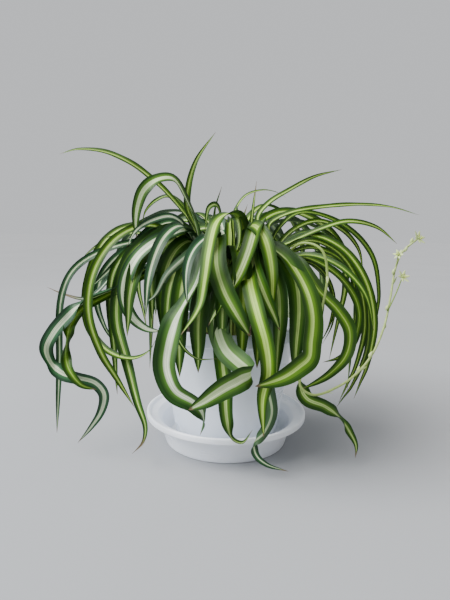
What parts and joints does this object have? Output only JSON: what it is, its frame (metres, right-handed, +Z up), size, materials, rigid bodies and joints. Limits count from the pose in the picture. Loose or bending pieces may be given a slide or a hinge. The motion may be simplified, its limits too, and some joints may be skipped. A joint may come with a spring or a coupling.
{
  "type": "potted spider plant",
  "caption": "Variegated spider plant with arching striped leaves and a thin flower stalk, in a plain tapered pot standing in a round saucer.",
  "frame": {"origin": "centre of the saucer's flat base, on the surface it stands on", "axes": "+Z up along the pot's axis, -Y towards the viewer of the picture, +X to the viewer's right"},
  "size_m": [0.3603, 0.315, 0.3023],
  "materials": {
    "saucer_plastic": "satin",
    "pot_plastic": "satin",
    "potting_soil": "matte",
    "leaf": "satin",
    "flower_stem": "satin"
  },
  "bodies": {
    "root": {"saucer": "saucer_plastic", "pot": "pot_plastic", "soil": "potting_soil", "crown_left": "leaf", "crown_front": "leaf", "crown_right": "leaf", "crown_back": "leaf", "flower_stalk": "flower_stem"}
  },
  "joints": []
}
